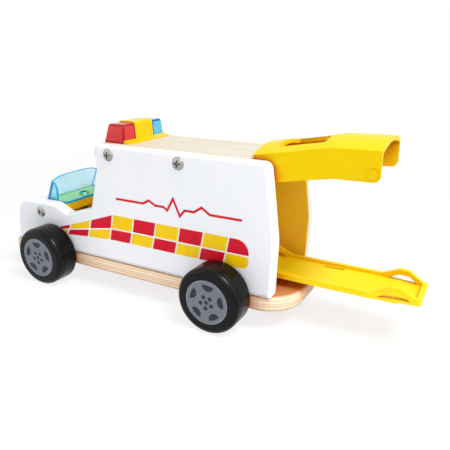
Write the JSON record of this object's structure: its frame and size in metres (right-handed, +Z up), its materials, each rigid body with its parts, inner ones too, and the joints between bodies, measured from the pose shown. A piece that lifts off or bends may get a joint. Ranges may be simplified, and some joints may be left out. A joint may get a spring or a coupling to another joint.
{
  "type": "toy ambulance",
  "caption": "Wooden toy ambulance with white side panels, a clear blue windscreen, a roof light bar, a lift-up yellow tailgate and a sliding stretcher.",
  "frame": {"origin": "middle of the bounding box at floor level, in the rest pose", "axes": "+X points forward, +Y to the vehicle's left, +Z up"},
  "size_m": [0.2852, 0.0968, 0.1131],
  "materials": {
    "base_ply": "clear varnished plywood",
    "roof_wood": "pale varnished wood",
    "white_wood": "white paint, satin, with yellow inner faces",
    "yellow_wood": "yellow paint, satin",
    "yellow_plastic": "moulded yellow plastic",
    "blue_clear": "clear blue plastic",
    "red_clear": "translucent red plastic",
    "lens_blue": "translucent blue plastic",
    "wheel_black": "glossy black with a grey printed hub",
    "steel": "zinc plated steel"
  },
  "bodies": {
    "body": {"base_board": "base_ply", "base_screws": "steel", "left_panel": "white_wood", "right_panel": "white_wood", "left_panel_screws": "steel", "right_panel_screws": "steel", "roof_board": "roof_wood", "dash_block": "yellow_wood", "nose_block": "white_wood", "windscreen": "blue_clear", "windscreen_screw": "steel", "light_base": "yellow_plastic", "light_screws": "steel", "red_lens": "red_clear", "blue_lens": "lens_blue", "tailgate_pins": "steel"},
    "tailgate": {"tailgate": "yellow_plastic"},
    "stretcher": {"stretcher": "yellow_plastic"},
    "front_wheels": {"front_axle": "steel", "front_left_wheel": "wheel_black", "front_right_wheel": "wheel_black", "front_washers": "steel"},
    "rear_wheels": {"rear_axle": "steel", "rear_left_wheel": "wheel_black", "rear_right_wheel": "wheel_black", "rear_washers": "steel"}
  },
  "joints": [
    {"name": "tailgate_hinge", "type": "hinge", "parent": "body", "child": "tailgate", "pos_m": [-0.0553, 0, 0.0942], "axis": [0, -1, 0], "range_deg": [0, 93]},
    {"name": "stretcher_slide", "type": "slide", "parent": "body", "child": "stretcher", "axis": [1, 0, 0], "range_m": [-0.004, 0.08]},
    {"name": "front_axle_spin", "type": "hinge", "parent": "body", "child": "front_wheels", "pos_m": [0.0995, 0, 0.02], "axis": [0, 1, 0], "continuous": true},
    {"name": "rear_axle_spin", "type": "hinge", "parent": "body", "child": "rear_wheels", "pos_m": [-0.035, 0, 0.02], "axis": [0, 1, 0], "continuous": true}
  ]
}
